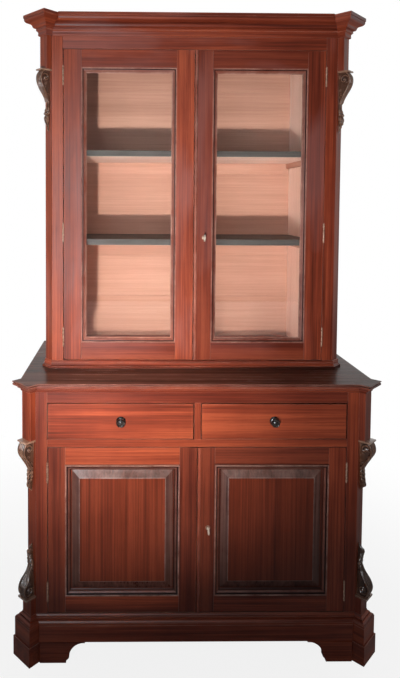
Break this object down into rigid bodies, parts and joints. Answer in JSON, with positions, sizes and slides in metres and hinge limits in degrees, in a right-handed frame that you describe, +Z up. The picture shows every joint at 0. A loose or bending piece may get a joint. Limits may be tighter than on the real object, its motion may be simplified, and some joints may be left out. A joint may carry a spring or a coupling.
{
  "type": "glazed bookcase cabinet",
  "caption": "Two-part mahogany cabinet: glazed bookcase with canted carved corners and moulded cornice, set back on a cupboard base with drawers and raised-panel doors",
  "frame": {"origin": "on the floor under the middle of the overall box", "axes": "+Z up; the front, with the doors and drawers, faces -Y; +X is to the right seen from the front"},
  "size_m": [1.244, 0.6294, 2.2],
  "materials": {
    "mahogany": "french polished",
    "carved_mahogany": "dark stained and polished carving",
    "pale_lining": "unpolished",
    "shelf_wood": "dark waxed",
    "drawer_lining": "bare",
    "glass": "clear polished",
    "ebonised": "black polished",
    "brass": "aged",
    "key_metal": "worn bright"
  },
  "bodies": {
    "carcass": {"base_moulding": "mahogany", "bookcase_back_boards": "pale_lining", "bookcase_floor": "mahogany", "bookcase_frame": "mahogany", "bookcase_linings": "pale_lining", "bookcase_shelves": "shelf_wood", "bookcase_sides": "mahogany", "bookcase_top": "mahogany", "bracket_feet": "mahogany", "cornice_moulding": "mahogany", "counter_moulding": "mahogany", "counter_top": "mahogany", "cupboard_back_boards": "pale_lining", "cupboard_floor": "mahogany", "cupboard_frame": "mahogany", "cupboard_shelf": "shelf_wood", "cupboard_sides": "mahogany", "drawer_runners": "drawer_lining", "frame_hinges": "brass", "lower_blocks": "brass", "lower_corbels": "carved_mahogany", "plinth_boards": "mahogany", "plinth_moulding": "mahogany", "shelf_bearers": "shelf_wood", "upper_blocks": "brass", "upper_corbels": "carved_mahogany"},
    "bookcase_left_door": {"bookcase_left_door_frame": "mahogany", "bookcase_left_door_moulding": "mahogany", "bookcase_left_door_glass": "glass", "bookcase_left_door_hinges": "brass", "bookcase_left_door_catch": "brass"},
    "bookcase_right_door": {"bookcase_right_door_frame": "mahogany", "bookcase_right_door_moulding": "mahogany", "bookcase_right_door_glass": "glass", "bookcase_right_door_hinges": "brass", "bookcase_meeting_bead": "mahogany", "bookcase_lock": "brass"},
    "cupboard_left_door": {"cupboard_left_door_frame": "mahogany", "cupboard_left_door_moulding": "mahogany", "cupboard_left_door_panel": "mahogany", "cupboard_left_door_hinges": "brass", "cupboard_left_door_catch": "brass"},
    "cupboard_right_door": {"cupboard_right_door_frame": "mahogany", "cupboard_right_door_moulding": "mahogany", "cupboard_right_door_panel": "mahogany", "cupboard_right_door_hinges": "brass", "cupboard_meeting_bead": "mahogany", "cupboard_lock": "brass"},
    "bookcase_key": {"bookcase_key": "key_metal"},
    "cupboard_key": {"cupboard_key": "key_metal"},
    "bookcase_lock_bolt": {"bookcase_lock_bolt": "brass"},
    "cupboard_lock_bolt": {"cupboard_lock_bolt": "brass"},
    "bookcase_left_bolt": {"bookcase_left_door_bolt": "brass"},
    "cupboard_left_bolt": {"cupboard_left_door_bolt": "brass"},
    "left_drawer": {"left_drawer_front": "mahogany", "left_drawer_box": "drawer_lining", "left_drawer_knob": "ebonised"},
    "right_drawer": {"right_drawer_front": "mahogany", "right_drawer_box": "drawer_lining", "right_drawer_knob": "ebonised"}
  },
  "joints": [
    {"name": "bookcase_left_door_hinge", "type": "hinge", "parent": "carcass", "child": "bookcase_left_door", "pos_m": [-0.467, -0.09655, 1.528], "axis": [0, 0, -1], "range_deg": [0, 110]},
    {"name": "bookcase_right_door_hinge", "type": "hinge", "parent": "carcass", "child": "bookcase_right_door", "pos_m": [0.467, -0.09655, 1.528], "axis": [0, 0, 1], "range_deg": [0, 110]},
    {"name": "bookcase_key_turn", "type": "hinge", "parent": "bookcase_right_door", "child": "bookcase_key", "pos_m": [0.037, -0.09325, 1.417], "axis": [0, 1, 0], "range_deg": [0, 180]},
    {"name": "bookcase_lock_bolt_slide", "type": "slide", "parent": "bookcase_right_door", "child": "bookcase_lock_bolt", "axis": [-1, 0, 0], "range_m": [0, 0.014]},
    {"name": "bookcase_left_bolt_slide", "type": "slide", "parent": "bookcase_left_door", "child": "bookcase_left_bolt", "axis": [0, 0, -1], "range_m": [0, 0.012]},
    {"name": "cupboard_left_door_hinge", "type": "hinge", "parent": "carcass", "child": "cupboard_left_door", "pos_m": [-0.501, -0.26855, 0.441], "axis": [0, 0, -1], "range_deg": [0, 110]},
    {"name": "cupboard_right_door_hinge", "type": "hinge", "parent": "carcass", "child": "cupboard_right_door", "pos_m": [0.501, -0.26855, 0.441], "axis": [0, 0, 1], "range_deg": [0, 110]},
    {"name": "cupboard_key_turn", "type": "hinge", "parent": "cupboard_right_door", "child": "cupboard_key", "pos_m": [0.037, -0.26525, 0.45], "axis": [0, 1, 0], "range_deg": [0, 180]},
    {"name": "cupboard_lock_bolt_slide", "type": "slide", "parent": "cupboard_right_door", "child": "cupboard_lock_bolt", "axis": [-1, 0, 0], "range_m": [0, 0.014]},
    {"name": "cupboard_left_bolt_slide", "type": "slide", "parent": "cupboard_left_door", "child": "cupboard_left_bolt", "axis": [0, 0, -1], "range_m": [0, 0.012]},
    {"name": "left_drawer_slide", "type": "slide", "parent": "carcass", "child": "left_drawer", "axis": [0, -1, 0], "range_m": [0, 0.4]},
    {"name": "right_drawer_slide", "type": "slide", "parent": "carcass", "child": "right_drawer", "axis": [0, -1, 0], "range_m": [0, 0.4]}
  ],
  "couplings": [
    {"joint": "bookcase_lock_bolt_slide", "follows": "bookcase_key_turn", "m_per_rad": 0.0044563},
    {"joint": "cupboard_lock_bolt_slide", "follows": "cupboard_key_turn", "m_per_rad": 0.0044563}
  ]
}
